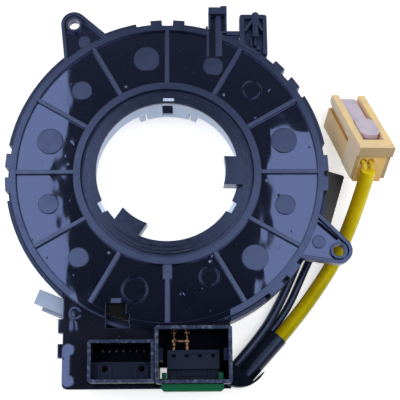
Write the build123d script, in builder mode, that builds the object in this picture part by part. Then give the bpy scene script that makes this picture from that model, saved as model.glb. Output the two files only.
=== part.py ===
from build123d import *
import os
from math import atan2, cos, degrees, pi, radians, sin, sqrt, tan

os.makedirs("parts", exist_ok=True)

# Steering clock spring, in millimetres. The origin is on the bore's axis, level with the rear
# cover's rims. +Z points to the rear, towards the steering column, and +Y to the top.

# Clearances
seat_gap = 0.15  # between pieces of the fixed half
run_gap = 0.5  # between the rotor and the fixed half, across the axis
face_gap = 0.3  # between the rotor and the fixed half, along the axis
film_gap = 0.45  # above the flat cable's turns
sunk = 0.2  # how far a raised feature starts inside what it stands on
past = 1.0  # how far a cut runs past the faces that it opens

# Rear cover
cover_r = 52.0
rim_w = 2.15
cover_h = 3.2
panel_drop = 1.5
hub_rim_w = 2.35
lip_w = 2.3
lip_drop = 2.6
lip_t = 1.5

# Ribs, ejector pads and sink bosses on the cover
rib_count = 12
rib_w = 1.3
rib_drop = 0.15
thick_rib_w = 2.7
thick_rib_l = 5.0
pad_h = 0.4
pad_ring_r = 40.5
large_pad_d = 8.5
small_pad_d = 6.5
large_pad_angles = (15.6, 99.9, 164.6, 314.8)
small_pad_angles = (67.3, 135.1, 195.2, 224.6, 344.0)
pad_marks = ((40.5, 254.9, 8.5), (40.5, 45.0, 6.5), (37.5, 291.3, 6.5))
pad_mark_w = 0.4
pad_mark_deep = 0.25
gate_r = 33.0
gate_from = 54.9
gate_count = 6
gate_d = 0.9
gate_h = 0.2

# Fixing ears
ear_hole_d = 3.9
ear_end_r = 4.4
ear_root_r = 1.4
ear_root_at = 50.3
ear_h = 4.2
ear_web_t = 2.6
ear_wall = 1.2
ear_boss_r = 2.8
ear_pad_d = 4.2
ear_pad_back = 7.0
ear_holes = ((-31.8, 52.07), (55.9, -26.66))
ear_roots = ((113.8, 131.4), (326.8, 343.2))
slot_w = 0.9
slot_l = 8.6
slot_at = (52.6, -20.0)
slot_turn = -42

# Snap lugs on the rim: angle and width of each, and the bays for them in the case's wall
lug_out = 1.45
lug_h = 5.5
lugs = (
    (94.1, 3.9), (85.7, 4.0), (44.1, 4.2), (35.6, 4.4), (3.0, 5.4),
    (355.4, 5.0), (175.7, 4.6), (184.5, 4.6), (320.9, 5.4), (312.0, 5.8),
)
bays = ((75.5, 101.5), (29.7, 50.3), (349.6, 370.4), (169.8, 190.4), (307.0, 326.0))
bay_deep = 6.5
rim_notch_angles = (89.9, 39.8)
rim_notch_w = 3.6
rim_notch_deep = 0.5

# Latch post at the top
post_x = 17.25
post_w = 6.3
post_step_y = 48.6
post_top_y = 57.7
post_h = 0.4
post_wall = 0.65
post_head = 2.4
post_head_h = 1.2
post_stop_w = 2.2
post_stop_l = 0.5
stem_x = 16.15
stem_w = 5.1
stem_low_y = 40.2
tongue_x = 17.45
tongue_w = 1.9
tongue_top_y = 55.0
tongue_h = 0.3

# Clip bracket beside it
bracket_left = 24.7
bracket_right = 34.1
bracket_top = 55.4
bracket_low = 41.0
bracket_wall = 1.4
bracket_side = 1.7
bracket_h = 0.3
bracket_floor_t = 0.9
bracket_round = 1.0
clip_x = 30.1
clip_head_d = 2.6
clip_head_y = 54.5
clip_stem_w = 1.9
clip_low_y = 47.0
clip_h = 1.5
arm_ends = ((26.7, 49.5), (32.3, 49.7))
clip_arm_w = 0.9
clip_arm_h = 1.0
leg_x = 29.3
leg_apart = 1.5
leg_w = 0.6
leg_low_y = 44.2
clip_stud = (31.1, 43.3)
clip_stud_d = 1.3
bar_y = 49.0
bar_w = 1.4
bar_drop = 0.6

# Connector deck, part of the cover
deck_left = -33.45
deck_low = -70.55
deck_drop = 2.0
deck_t = 2.5
deck_round = 1.6
deck_top_y = -39.6
window_x = -16.0
window_w = 7.4
window_neck_w = 6.3
window_low = -51.3
window_step = -46.9
window_top = -43.4
window_tab_w = 3.0
window_tab_l = 1.6
window_tab_shift = -0.5
window_tab_h = 0.8
stake_x = -31.5
stake_ys = (-58.15, -67.9)
stake_d = 3.9
stake_h = 0.5
stake_bar_right = -30.9
side_lug_ys = (-50.5, -58.45)
side_lug_w = 4.4
side_lug_out = 1.55
side_lug_h = 4.6
hook_at = (-29.5, -46.6)
hook_r = 2.0
hook_wall = 0.55
hook_h = 1.4
hook_slit = 1.2
finger_at = (-30.6, -50.6)
finger_l = 3.1
finger_w = 1.3
spring_finger_x = -29.1
spring_finger_w = 0.6

# Outer case
case_wall = 1.3
case_top_drop = 1.0
case_low = -13.0
tray_wall = 1.5
tray_floor_t = 2.0
tray_inset = 0.6
keeper_in = 1.95
keeper_t = 1.3

# Connector sockets on the deck
left_x = -24.6
left_low = -69.0
left_top = -55.8
left_rim_z = 8.0
left_wall = 1.05
right_x = -3.8
right_w = 24.0
right_low = -69.4
right_top = -51.6
right_rim_z = 9.0
right_wall = 1.15
socket_round = 1.0
socket_floor_t = 2.5
step_y = -62.3
step_z = 2.4
key_hole_d = 1.75
key_boss_d = 4.4
key_boss_t = 0.7
key_boss_h = 0.7
key_hole_deep = 5.0
key_xs = (-19.6, -8.0)
key_y = -64.5
left_notch_xs = (-19.25, -8.15)
right_notch_xs = (-0.7, 7.9, 16.7)
notch_w = 3.2
notch_deep = 0.6
ledge_w = 1.35
ledge_top_y = -58.1
ledge_low_y = -62.1
ledge_z = 4.0
pin_t = 0.64
left_pin_count = 7
left_pin_pitch = 2.2
left_pin_shift = 1.2
left_pin_top = -5.5
insert_side_gap = 2.6
insert_low_gap = 0.3
insert_top_y = -58.7
insert_top_z = 2.2
insert_step_y = -64.5
insert_step_z = -0.6
insert_holes = 4
insert_hole_w = 1.2
insert_hole_l = 0.9
insert_hole_y = -60.6
insert_hole_deep = 2.6
lock_plate_xs = ((7.15, 11.3), (12.45, 15.9))
lock_plate_l = 1.3
lock_plate_h = 0.5
guide_rib_xs = (3.5, 13.1)
guide_rib_w = 0.5
guide_rib_h = 0.9
guide_rib_ys = (-66.4, -67.5)
clip_strip_xs = (1.75, 5.9)
strip_w = 0.7
strip_t = 0.5
strip_z = -1.2
strip_top_y = -52.9
neck_w = 0.4
neck_from_y = -54.9
bridge_y = -55.7
bridge_w = 0.55
bridge_end = 0.3
bridge_t = 0.75
top_bar_w = 1.9
top_bar_t = 0.35
retainer_x = -1.7
retainer_w = 19.2
retainer_t = 2.2
retainer_low_z = 2.2
retainer_top_z = 8.4
retainer_cut = 0.7
arm_w = 1.5
arm_in = 2.4
arm_h = 1.8
well_w = 2.2
well_l = 3.6

# Retaining ring on the rotor's rear end
ring_overhang = 0.6
ring_gap = 1.2
ring_top = 0.5
ring_step = 0.4
ring_edge_drop = 0.9
ring_edge_w = 0.9
ring_land_w = 1.2
skirt_w = 1.45
ring_low = -0.6
peg_reach = 4.3
peg_w = 9.5
peg_angles = (-1.3, 235.9)
peg_top = 3.2
peg_low = -2.8
peg_root = 0.4
latch_angles = (89.0, 209.3, 329.8)
latch_w = 4.0
latch_back = 1.25
latch_drop = 0.2

# Rotor
sleeve_r = 24.1
sleeve_wall = 1.8
flare_z = -9.9
web_top = -9.2
drum_gap = 3.6
drum_wall = 1.5
disc_t = 2.0
disc_proud = 0.2
guard_low = -16.5
guard_angles = (66.0, 113.0)
guard_slits = (71.5, 107.6)
guard_slit_w = 0.7
guard_window_w = 3.6
guard_window_top = -4.0
guard_window_low = -14.3
drive_pin_r = 38.0
drive_pin_d = 6.0
front_z = -22.0

# Steering-wheel sockets on the rotor's front
wheel_socket_y = 27.6
wheel_socket_h = 11.5
wheel_socket_w = 22.0
low_socket_w = 17.0
wheel_socket_wall = 1.5
wheel_socket_deep = 7.0
wheel_pin_pitch = 2.5
wheel_pin_shift = 1.3
wheel_pin_l = 5.0

# Flat cable inside
film_t = 0.25
cable_t = 0.3
cable_w = 6.6
coil_gap = 0.4
cable_pitch = 5.2
cable_half_turns = 4
anchor_w = 9.0
anchor_t = 1.5
block_w = 16.0
block_h = 5.6

# Leads: the guide under the block, and the direction in which they leave it
table = front_z
exit_at = (24.5, -64.5)
exit_turn = 47.5
guide_back_x = 12.0
guide_low_y = -69.0
guide_corner_x = 20.5
guide_left = 5.2
guide_right = 4.9
fin_reach = 5.0
fin_side = 5.5
yellow_d = 5.0
black_a_d = 3.2
black_b_d = 2.6
tape_t = 0.3
tape_l = 17.3
yellow_side = 1.95
black_b_side = -1.7
black_a_side = -3.0
black_a_rise = 4.25
black_a_run = 12.8
black_b_run = 7.5
yellow_run = 12.0
lay_gap = 0.05
yellow_lift = 0.6
black_a_lift = 1.0
black_a_lead_in = 6.5
black_b_lead_in = 7.5
run_share = 0.45

# Black plug, lying beside the ring
black_plug_corner = (61.03, 1.79)
black_plug_turn = 72.5
black_plug_w = 9.0
black_plug_l = 19.0
black_plug_h = 7.8
black_plug_round = 0.8
black_plug_pin = 1.9

# Yellow plug: tilted, with its mating end's lower corner on the surface
plug_at = (56.93, 29.55, -8.88)
plug_heading = -76.6
plug_lift = 36.4
plug_roll = -17.1
plug_l = 31.1
plug_w = 12.3
plug_h = 13.2
shell_t = 1.3
shell_skirt = 3.7
rail_w = 2.5
rail_l = 19.0
rail_deep = 2.2
frame_bar = 4.6
side_panel_l = 21.0
side_panel_top = 5.4
side_panel_in = 0.25
side_panel_gap = 0.3
shell_gap = 0.02
skirt_step_w = 0.5
skirt_step_h = 1.2
body_back = 1.0
keel_from = 9.0
keel_h = 1.3
lock_t = 1.7
lock_head_l = 9.8
lock_head_w = 7.0
lock_head_round = 2.6
lock_neck_w = 5.6
lock_from = 1.6
lock_travel = 2.0
wire_d = 1.4
wire_apart = 2.6
wire_side = -1.9
wire_out = 2.75
wire_down = 1.5
wire_level = 6.4
wire_bend_r = 1.2
wire_hole_d = 2.2
wire_hole_deep = 1.0
mate_hole = 2.2
mate_hole_deep = 3.0
mate_level = 8.5

# White tab at the block's left side
tab_y = -44.4
tab_turn = 157.5
tab_l = 10.6
tab_w = 4.9
tab_t = 2.6
tab_top = -5.9
tab_lip_l = 8.4
tab_lip_w = 5.2
tab_lip_shift = 1.0
tab_lip_t = 0.8
tab_lip_low = -10.6

# Levels and radii that follow from the sizes above
cover_low = -cover_h
panel_top = -panel_drop
bore_r = sleeve_r - ring_overhang
lip_in_r = sleeve_r + sleeve_wall + run_gap
hub_rim_r = lip_in_r + lip_w + hub_rim_w
ring_out_r = lip_in_r + lip_w - ring_gap
skirt_r = ring_out_r - skirt_w
ring_land_r = ring_out_r - ring_edge_w
ring_step_r = ring_land_r - ring_land_w
latch_in_r = ring_step_r - latch_back
peg_in_r = bore_r - peg_reach
drum_r = sleeve_r + sleeve_wall + drum_gap + drum_wall
lip_top = -lip_drop
lip_low = lip_top - lip_t
deck_top = -deck_drop
deck_under = deck_top - deck_t
case_in_r = cover_r + seat_gap
case_r = case_in_r + case_wall
tray_floor = case_low + tray_floor_t
socket_low = tray_floor + seat_gap
disc_low = case_low - disc_proud
disc_top = disc_low + disc_t
disc_r = case_in_r - run_gap - seat_gap
keeper_low = disc_top + face_gap
drum_top = lip_low - run_gap
anchor_r = sqrt((drum_r + anchor_t) ** 2 + (anchor_w / 2) ** 2)
cable_in_r = anchor_r + coil_gap + cable_pitch / 4 + cable_t / 2
deck_right = right_x + right_w
lock_l = plug_l - frame_bar - lock_travel - seat_gap - lock_from
left_w = right_x - seat_gap - left_x
well_xs = (right_x + right_wall + seat_gap, right_x + right_w - right_wall - seat_gap - well_w)
well_low_y = right_low + right_wall + 1.2
rib_low_r = hub_rim_r - sunk
rib_high_r = cover_r - rim_w + sunk


def polar(radius, angle):
    """A point at a radius and an angle in degrees."""
    return (radius * cos(radians(angle)), radius * sin(radians(angle)))


def ear_outline(ear, grow):
    """The outline of one ear, wider by grow all round: its round end and the two arms' roots."""
    with Locations(ear_holes[ear]):
        Circle(ear_end_r + grow)
    with Locations(*[polar(ear_root_at, a) for a in ear_roots[ear]]):
        Circle(ear_root_r + grow)
    make_hull()


def rectangle_between(x_low, y_low, x_high, y_high, mode=Mode.ADD):
    """A rectangle given by two corners."""
    with Locations(((x_low + x_high) / 2, (y_low + y_high) / 2)):
        Rectangle(x_high - x_low, y_high - y_low, mode=mode)


def socket_outlines(grow):
    """The outlines of the two sockets on the deck, wider by grow all round."""
    rectangle_between(left_x - grow, left_low - grow, left_x + left_w + grow, left_top + grow)
    rectangle_between(
        right_x - grow, right_low - grow, right_x + right_w + grow, right_top + grow
    )


def box_between(low, high, mode=Mode.ADD):
    """A box given by two corners."""
    centre = [(a + b) / 2 for a, b in zip(low, high)]
    size = [b - a for a, b in zip(low, high)]
    with Locations(tuple(centre)):
        Box(*size, mode=mode)


# Rear cover: one moulding with the ribs, ears, lugs, latch post, clip bracket and deck
with BuildPart() as rear_cover:
    with BuildSketch(Plane.XZ):
        with BuildLine():
            Polyline(
                (lip_in_r, lip_low), (hub_rim_r, lip_low), (hub_rim_r, cover_low),
                (cover_r, cover_low), (cover_r, 0), (cover_r - rim_w, 0),
                (cover_r - rim_w, panel_top), (hub_rim_r, panel_top), (hub_rim_r, 0),
                (hub_rim_r - hub_rim_w, 0), (hub_rim_r - hub_rim_w, lip_top),
                (lip_in_r, lip_top), close=True,
            )
        make_face()
    revolve(axis=Axis.Z)
    # Ribs
    with BuildSketch(Plane.XY.offset(panel_top - sunk)):
        with PolarLocations((rib_low_r + rib_high_r) / 2, rib_count):
            Rectangle(rib_high_r - rib_low_r, rib_w)
        with Locations((0, -rib_low_r - thick_rib_l / 2)):
            Rectangle(thick_rib_w, thick_rib_l)
    extrude(amount=sunk - panel_top - rib_drop)
    # Ejector pads
    with BuildSketch(Plane.XY.offset(panel_top - sunk)):
        with Locations(*[polar(pad_ring_r, a) for a in large_pad_angles]):
            Circle(large_pad_d / 2)
        with Locations(*[polar(pad_ring_r, a) for a in small_pad_angles]):
            Circle(small_pad_d / 2)
    extrude(amount=pad_h + sunk)
    with BuildSketch(Plane.XY.offset(panel_top - pad_mark_deep)):
        for radius, angle, diameter in pad_marks:
            with Locations(polar(radius, angle)):
                Circle(diameter / 2)
                Circle(diameter / 2 - pad_mark_w, mode=Mode.SUBTRACT)
    extrude(amount=pad_mark_deep, mode=Mode.SUBTRACT)
    # Gate marks near the hub
    with BuildSketch(Plane.XY.offset(panel_top - sunk)):
        with PolarLocations(gate_r, gate_count, start_angle=gate_from):
            Circle(gate_d / 2)
    extrude(amount=gate_h + sunk)
    # Ears: webs with a wall all round and a boss at the hole
    for ear in range(len(ear_holes)):
        with BuildSketch(Plane.XY.offset(-ear_h)):
            ear_outline(ear, 0)
            Circle(cover_r - rim_w / 2, mode=Mode.SUBTRACT)
        extrude(amount=ear_h)
        with BuildSketch(Plane.XY.offset(ear_web_t - ear_h)):
            ear_outline(ear, -ear_wall)
            Circle(cover_r, mode=Mode.SUBTRACT)
            with Locations(ear_holes[ear]):
                Circle(ear_boss_r, mode=Mode.SUBTRACT)
        extrude(amount=ear_h, mode=Mode.SUBTRACT)
        toward = degrees(atan2(ear_holes[ear][1], ear_holes[ear][0]))
        reach = sqrt(ear_holes[ear][0] ** 2 + ear_holes[ear][1] ** 2)
        with BuildSketch(Plane.XY.offset(ear_web_t - ear_h - sunk)):
            with Locations(polar(reach - ear_pad_back, toward)):
                Circle(ear_pad_d / 2)
        extrude(amount=pad_h + sunk)
    with BuildSketch(Plane.XY.offset(-ear_h - past)):
        with Locations(*ear_holes):
            Circle(ear_hole_d / 2)
        with Locations(Location(slot_at, slot_turn)):
            SlotOverall(slot_l, slot_w)
    extrude(amount=ear_h + 2 * past, mode=Mode.SUBTRACT)
    # Snap lugs
    for angle, width in lugs:
        with BuildSketch(Plane.XY.offset(-lug_h)):
            with Locations(Location((0, 0), angle)):
                with Locations((cover_r + (lug_out - sunk) / 2, 0)):
                    Rectangle(lug_out + sunk, width)
        extrude(amount=lug_h)
    for angle in rim_notch_angles:
        with BuildSketch(Plane.XY.offset(-lug_h)):
            with Locations(Location((0, 0), angle)):
                with Locations((cover_r, 0)):
                    Rectangle(2 * rim_notch_deep, rim_notch_w)
        extrude(amount=lug_h + past, mode=Mode.SUBTRACT)
    # Latch post: a channel that starts on the panel and widens past the rim, with a tongue in it
    box_between(
        (post_x - post_w / 2, post_step_y, cover_low),
        (post_x + post_w / 2, post_top_y, post_h),
    )
    box_between(
        (stem_x - stem_w / 2, stem_low_y, panel_top - sunk),
        (stem_x + stem_w / 2, post_step_y + post_wall, post_h),
    )
    box_between(
        (post_x - post_w / 2 + post_wall, post_step_y + post_wall, panel_top),
        (post_x + post_w / 2 - post_wall, post_top_y - post_head, post_h + past),
        mode=Mode.SUBTRACT,
    )
    box_between(
        (stem_x - stem_w / 2 + post_wall, stem_low_y, panel_top),
        (stem_x + stem_w / 2 - post_wall, post_step_y + 2 * post_wall, post_h + past),
        mode=Mode.SUBTRACT,
    )
    box_between(
        (post_x - post_w / 2, post_top_y - post_head, post_h - sunk),
        (post_x + post_w / 2, post_top_y, post_head_h),
    )
    box_between(
        (post_x + post_w / 2 - post_stop_w, post_top_y - sunk, cover_low),
        (post_x + post_w / 2, post_top_y + post_stop_l, post_head_h),
    )
    with BuildSketch(Plane.XY.offset(panel_top - sunk)):
        rectangle_between(
            tongue_x - tongue_w / 2, stem_low_y, tongue_x + tongue_w / 2, tongue_top_y - tongue_w / 2
        )
        with Locations((tongue_x, tongue_top_y - tongue_w / 2)):
            Circle(tongue_w / 2)
    extrude(amount=tongue_h + sunk - panel_top)
    # Bar from the post to the bracket
    box_between(
        (post_x + post_w / 2 - sunk, bar_y - bar_w / 2, cover_low),
        (bracket_left + sunk, bar_y + bar_w / 2, -bar_drop),
    )
    # Clip bracket: a walled frame on a floor with a free clip in it
    with BuildSketch(Plane.XY.offset(cover_low)) as bracket_plan:
        rectangle_between(bracket_left, bracket_low, bracket_right, bracket_top)
        fillet(bracket_plan.vertices().group_by(Axis.Y)[-1], bracket_round)
        Circle(cover_r - rim_w / 2, mode=Mode.SUBTRACT)
    extrude(amount=cover_h + bracket_h)
    with BuildSketch(Plane.XY.offset(cover_low + bracket_floor_t)):
        rectangle_between(
            bracket_left + bracket_side, bracket_low,
            bracket_right - bracket_wall, bracket_top - bracket_wall,
        )
        Circle(cover_r, mode=Mode.SUBTRACT)
    extrude(amount=cover_h + 2 * past, mode=Mode.SUBTRACT)
    bracket_floor = cover_low + bracket_floor_t
    with BuildSketch(Plane.XY.offset(bracket_floor - sunk)):
        with Locations((clip_x, clip_head_y)):
            Circle(clip_head_d / 2)
        rectangle_between(clip_x - clip_stem_w / 2, clip_low_y, clip_x + clip_stem_w / 2, clip_head_y)
    extrude(amount=sunk - bracket_floor + clip_h)
    with BuildSketch(Plane.XY.offset(bracket_floor - sunk)):
        for x, y in arm_ends:
            arm_mid = ((clip_x + x) / 2, (clip_head_y + y) / 2)
            arm_turn = degrees(atan2(clip_head_y - y, clip_x - x))
            arm_reach = sqrt((clip_x - x) ** 2 + (clip_head_y - y) ** 2)
            with Locations(Location(arm_mid, arm_turn)):
                SlotCenterToCenter(arm_reach, clip_arm_w)
    extrude(amount=sunk - bracket_floor + clip_arm_h)
    with BuildSketch(Plane.XY.offset(bracket_floor - sunk)):
        for side in (-1, 1):
            with Locations((leg_x + side * leg_apart / 2, (leg_low_y + clip_low_y + sunk) / 2)):
                Rectangle(leg_w, clip_low_y - leg_low_y + sunk)
        with Locations(clip_stud):
            Circle(clip_stud_d / 2)
    extrude(amount=sunk - bracket_floor)
    # Deck
    with BuildSketch(Plane.XY.offset(deck_under)) as deck_plan:
        rectangle_between(deck_left, deck_low, deck_right, deck_top_y)
        fillet(deck_plan.vertices().group_by(Axis.Y)[0].sort_by(Axis.X)[0], deck_round)
        Circle(cover_r - rim_w / 2, mode=Mode.SUBTRACT)
    extrude(amount=deck_t)
    with BuildSketch(Plane.XY.offset(deck_top - sunk)):
        with Locations(*[(stake_x, y) for y in stake_ys]):
            Circle(stake_d / 2)
        rectangle_between(stake_x - stake_d / 2, stake_ys[1], stake_bar_right, stake_ys[0])
    extrude(amount=stake_h + sunk)
    for y in side_lug_ys:
        box_between(
            (deck_left - side_lug_out, y - side_lug_w / 2, deck_top - side_lug_h),
            (deck_left + sunk, y + side_lug_w / 2, deck_top),
        )
    # Latch hook: a slit collar with two fingers below it
    with BuildSketch(Plane.XY.offset(deck_top - sunk)):
        with Locations(hook_at):
            Circle(hook_r)
            Circle(hook_r - hook_wall, mode=Mode.SUBTRACT)
        with Locations((hook_at[0] + hook_r, hook_at[1])):
            Rectangle(hook_r, hook_slit, mode=Mode.SUBTRACT)
        with Locations(Location(finger_at, 90)):
            SlotOverall(finger_l, finger_w)
        with Locations(Location((spring_finger_x, finger_at[1]), 100)):
            SlotOverall(finger_l, spring_finger_w)
    extrude(amount=hook_h + sunk)
    # T-shaped window with a small tab above it
    with BuildSketch(Plane.XY.offset(cover_low - deck_t)):
        rectangle_between(window_x - window_w / 2, window_low, window_x + window_w / 2, window_step)
        rectangle_between(
            window_x - window_w / 2, window_step, window_x - window_w / 2 + window_neck_w, window_top
        )
    extrude(amount=cover_h + deck_t + past, mode=Mode.SUBTRACT)
    with BuildSketch(Plane.XY.offset(panel_top - sunk)):
        with Locations((window_x + window_tab_shift, window_top + window_tab_l / 2)):
            Rectangle(window_tab_w, window_tab_l)
    extrude(amount=window_tab_h + sunk)
    # Cut-outs in which the two sockets stand
    with BuildSketch(Plane.XY.offset(deck_under - past)):
        socket_outlines(seat_gap)
    extrude(amount=deck_t + deck_drop + 2 * past, mode=Mode.SUBTRACT)

# Outer case: the cup's wall with the rotor's keeper inside, and the tray under the deck
with BuildPart() as outer_case:
    with BuildSketch(Plane.XY.offset(case_low)):
        Circle(case_r)
        Circle(case_in_r, mode=Mode.SUBTRACT)
    extrude(amount=-case_top_drop - case_low)
    with BuildSketch(Plane.XY.offset(case_low)):
        rectangle_between(
            deck_left + tray_inset, deck_low + tray_inset, deck_right - tray_inset, deck_top_y
        )
        Circle(case_in_r + case_wall / 2, mode=Mode.SUBTRACT)
    extrude(amount=deck_under - case_low)
    # Room for the deck, which lies on the tray
    box_between(
        (deck_left - seat_gap, deck_low, deck_under),
        (deck_right + seat_gap, deck_top_y + seat_gap, 1),
        mode=Mode.SUBTRACT,
    )
    # Inside of the tray
    with BuildSketch(Plane.XY.offset(tray_floor)):
        rectangle_between(
            deck_left + tray_inset + tray_wall, deck_low + tray_inset + tray_wall,
            deck_right - tray_inset - tray_wall, deck_top_y,
        )
        Circle(case_r, mode=Mode.SUBTRACT)
    extrude(amount=deck_under - tray_floor, mode=Mode.SUBTRACT)
    # Way through the walls for the sockets
    with BuildSketch(Plane.XY.offset(tray_floor)):
        socket_outlines(seat_gap)
    extrude(amount=-tray_floor, mode=Mode.SUBTRACT)
    for x in well_xs:
        box_between(
            (x, well_low_y, case_low - past),
            (x + well_w, well_low_y + well_l, socket_low + past),
            mode=Mode.SUBTRACT,
        )
    # Keeper above the rotor's disc
    with BuildSketch(Plane.XY.offset(keeper_low)):
        Circle(case_in_r + sunk)
        Circle(case_in_r - keeper_in, mode=Mode.SUBTRACT)
        rectangle_between(
            left_x, right_low, right_x + right_w + seat_gap, right_top + seat_gap, mode=Mode.SUBTRACT
        )
    extrude(amount=keeper_t)
    # Bays for the lugs, and notches for the ears, the post and the bracket
    for bay_from, bay_to in bays:
        with BuildSketch(Plane.XY.offset(-bay_deep)):
            Polygon((0, 0), polar(2 * case_r, bay_from), polar(2 * case_r, bay_to), align=None)
            Circle(case_in_r - seat_gap, mode=Mode.SUBTRACT)
        extrude(amount=bay_deep, mode=Mode.SUBTRACT)
    for ear in range(len(ear_holes)):
        with BuildSketch(Plane.XY.offset(-ear_h - seat_gap)):
            ear_outline(ear, seat_gap)
        extrude(amount=ear_h, mode=Mode.SUBTRACT)
    with BuildSketch(Plane.XY.offset(cover_low - seat_gap)):
        rectangle_between(
            post_x - post_w / 2 - seat_gap, post_step_y - seat_gap,
            post_x + post_w / 2 + seat_gap, post_top_y,
        )
        rectangle_between(
            post_x, bar_y - bar_w / 2 - seat_gap, bracket_right + seat_gap, bracket_top + seat_gap
        )
        rectangle_between(
            bracket_left - seat_gap, bracket_low - seat_gap, bracket_right + seat_gap, bracket_top
        )
    extrude(amount=cover_h, mode=Mode.SUBTRACT)

# Left socket: a shroud with a step at the back that has two key holes, each under an arched rib
with BuildPart() as left_socket:
    box_between((left_x, left_low, socket_low), (left_x + left_w, left_top, left_rim_z))
    left_corners = left_socket.edges().filter_by(Axis.Z).group_by(Axis.X)[0]
    fillet(left_corners, socket_round)
    box_between(
        (left_x + left_wall, left_low + left_wall, step_z),
        (left_x + left_w - left_wall, left_top - left_wall, left_rim_z + past),
        mode=Mode.SUBTRACT,
    )
    box_between(
        (left_x + left_wall, step_y, socket_low + socket_floor_t),
        (left_x + left_w - left_wall, left_top - left_wall, left_rim_z),
        mode=Mode.SUBTRACT,
    )
    with BuildSketch(Plane.XY.offset(step_z - sunk)):
        for x in key_xs:
            with Locations((x, key_y)):
                Circle(key_boss_d / 2)
            rectangle_between(x - key_boss_d / 2, left_low + left_wall - sunk, x + key_boss_d / 2, key_y)
        for x in key_xs:
            with Locations((x, key_y)):
                Circle(key_boss_d / 2 - key_boss_t, mode=Mode.SUBTRACT)
            rectangle_between(
                x - key_boss_d / 2 + key_boss_t, left_low, x + key_boss_d / 2 - key_boss_t, key_y,
                mode=Mode.SUBTRACT,
            )
    extrude(amount=key_boss_h + sunk)
    with BuildSketch(Plane.XY.offset(step_z)):
        with Locations(*[(x, key_y) for x in key_xs]):
            Circle(key_hole_d / 2)
    extrude(amount=-key_hole_deep, mode=Mode.SUBTRACT)
    for x in left_notch_xs:
        box_between(
            (x - notch_w / 2, left_top - left_wall - sunk, left_rim_z - notch_deep),
            (x + notch_w / 2, left_top + past, left_rim_z + past),
            mode=Mode.SUBTRACT,
        )

# Right socket: a deeper shroud with ledges at its sides, slots in its lower wall for the
# retainer's arms, and a well down through its floor behind each arm
with BuildPart() as right_socket:
    box_between(
        (right_x, right_low, socket_low), (right_x + right_w, right_top, right_rim_z)
    )
    fillet(right_socket.edges().filter_by(Axis.Z), socket_round)
    box_between(
        (right_x + right_wall, right_low + right_wall, socket_low + socket_floor_t),
        (right_x + right_w - right_wall, right_top - right_wall, right_rim_z + past),
        mode=Mode.SUBTRACT,
    )
    for x in (right_x + right_wall - sunk, right_x + right_w - right_wall - ledge_w):
        box_between((x, ledge_low_y, socket_low), (x + ledge_w + sunk, ledge_top_y, ledge_z))
    for x in (retainer_x, retainer_x + retainer_w - arm_w):
        box_between(
            (x - seat_gap, right_low - past, retainer_low_z - seat_gap),
            (x + arm_w + seat_gap, right_low + right_wall + past, retainer_low_z + arm_h + seat_gap),
            mode=Mode.SUBTRACT,
        )
    for x in well_xs:
        box_between(
            (x, well_low_y, socket_low - past),
            (x + well_w, well_low_y + well_l, socket_low + socket_floor_t + past),
            mode=Mode.SUBTRACT,
        )
    for x in right_notch_xs:
        box_between(
            (x - notch_w / 2, right_top - right_wall - sunk, right_rim_z - notch_deep),
            (x + notch_w / 2, right_top + past, right_rim_z + past),
            mode=Mode.SUBTRACT,
        )

# Terminals of the left socket, in one row along its deep side
with BuildPart() as left_terminals:
    pin_z = socket_low + socket_floor_t
    pin_mid_x = left_x + left_w / 2
    pin_mid_y = (step_y + left_top - left_wall) / 2 + left_pin_shift
    with Locations((pin_mid_x, pin_mid_y, (pin_z + left_pin_top) / 2)):
        with GridLocations(left_pin_pitch, 1, left_pin_count, 1):
            Box(pin_t, pin_t, left_pin_top - pin_z)

# Insert of the right socket: the terminal carrier in its lower half
insert_x = right_x + right_wall + insert_side_gap
insert_w = right_w - 2 * right_wall - 2 * insert_side_gap
insert_low = right_low + right_wall + insert_low_gap
with BuildPart() as right_insert:
    insert_floor = socket_low + socket_floor_t
    box_between(
        (insert_x, insert_step_y - sunk, insert_floor), (insert_x + insert_w, insert_top_y, insert_top_z)
    )
    box_between((insert_x, insert_low, insert_floor), (insert_x + insert_w, insert_step_y, insert_step_z))
    with Locations((insert_x + insert_w / 2, insert_hole_y, insert_top_z)):
        with GridLocations(insert_w / insert_holes, 1, insert_holes, 1):
            Box(insert_hole_w, insert_hole_l, 2 * insert_hole_deep, mode=Mode.SUBTRACT)
    for low_x, high_x in lock_plate_xs:
        box_between(
            (low_x, insert_top_y - lock_plate_l, insert_top_z - sunk),
            (high_x, insert_top_y, insert_top_z + lock_plate_h),
        )
    with BuildSketch(Plane.XY.offset(insert_step_z - sunk)):
        for y in guide_rib_ys:
            rectangle_between(
                guide_rib_xs[0], y - guide_rib_w / 2, guide_rib_xs[1], y + guide_rib_w / 2
            )
        for x in guide_rib_xs:
            rectangle_between(x - guide_rib_w / 2, guide_rib_ys[1], x + guide_rib_w / 2, insert_step_y)
    extrude(amount=guide_rib_h + sunk)

# Copper shorting clip in front of it: strips from the insert, joined by a bridge, that narrow to
# necks with a bar across each end, and a leg down to the floor under each bar
with BuildPart() as shorting_clip:
    for x in clip_strip_xs:
        box_between(
            (x, insert_top_y + seat_gap, strip_z), (x + strip_w, neck_from_y, strip_z + strip_t)
        )
        neck_x = x + (strip_w - neck_w) / 2
        box_between(
            (neck_x, neck_from_y - sunk, strip_z), (neck_x + neck_w, strip_top_y, strip_z + strip_t)
        )
        bar_x = x + (strip_w - top_bar_w) / 2
        box_between(
            (bar_x, strip_top_y - top_bar_t, strip_z),
            (bar_x + top_bar_w, strip_top_y, strip_z + 2 * strip_t),
        )
        box_between(
            (neck_x, strip_top_y - top_bar_t, socket_low + socket_floor_t),
            (neck_x + neck_w, strip_top_y, strip_z + sunk),
        )
    box_between(
        (clip_strip_xs[0] - bridge_end, bridge_y - bridge_w / 2, strip_z),
        (clip_strip_xs[1] + strip_w + bridge_end, bridge_y + bridge_w / 2, strip_z + bridge_t),
    )

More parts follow.
